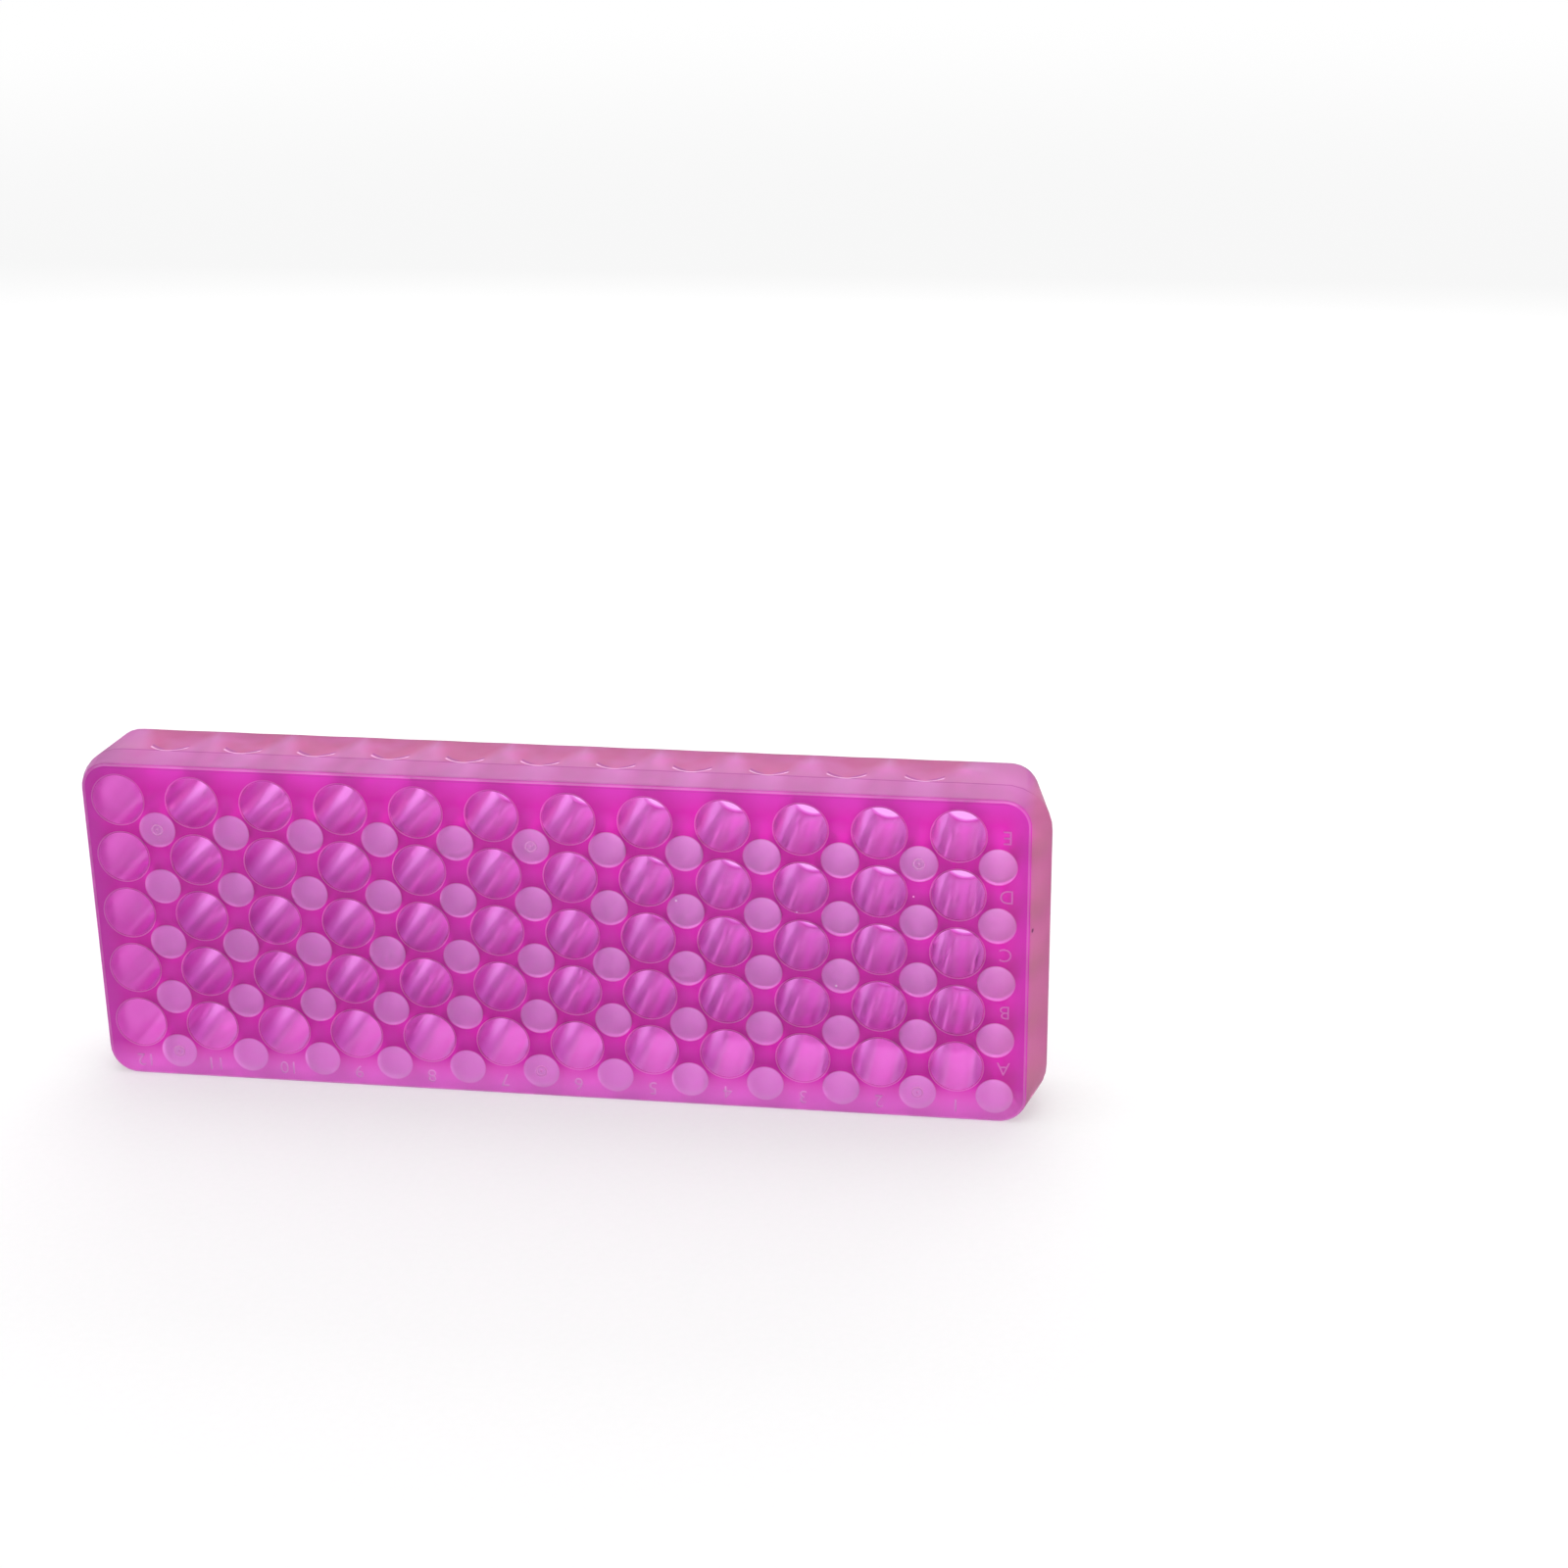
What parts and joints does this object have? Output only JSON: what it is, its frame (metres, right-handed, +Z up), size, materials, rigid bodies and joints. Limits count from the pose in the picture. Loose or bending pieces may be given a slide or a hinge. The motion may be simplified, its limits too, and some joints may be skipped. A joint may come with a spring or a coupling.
{
  "type": "centrifuge tube rack",
  "caption": "Reversible one-piece rack in translucent magenta plastic: large blind wells open on one face and small blind wells on the other, for capped micro tubes.",
  "frame": {"origin": "middle of the long side wall that the rack stands on, at the lowest point", "axes": "+X along the rack, +Y from the large well face to the small well face, +Z up"},
  "size_m": [0.2254, 0.024, 0.0787],
  "materials": {
    "translucent_plastic": "moulded polypropylene dyed magenta, translucent, satin faces and glossy side walls"
  },
  "bodies": {
    "root": {"rack_body": "translucent_plastic"}
  },
  "joints": []
}
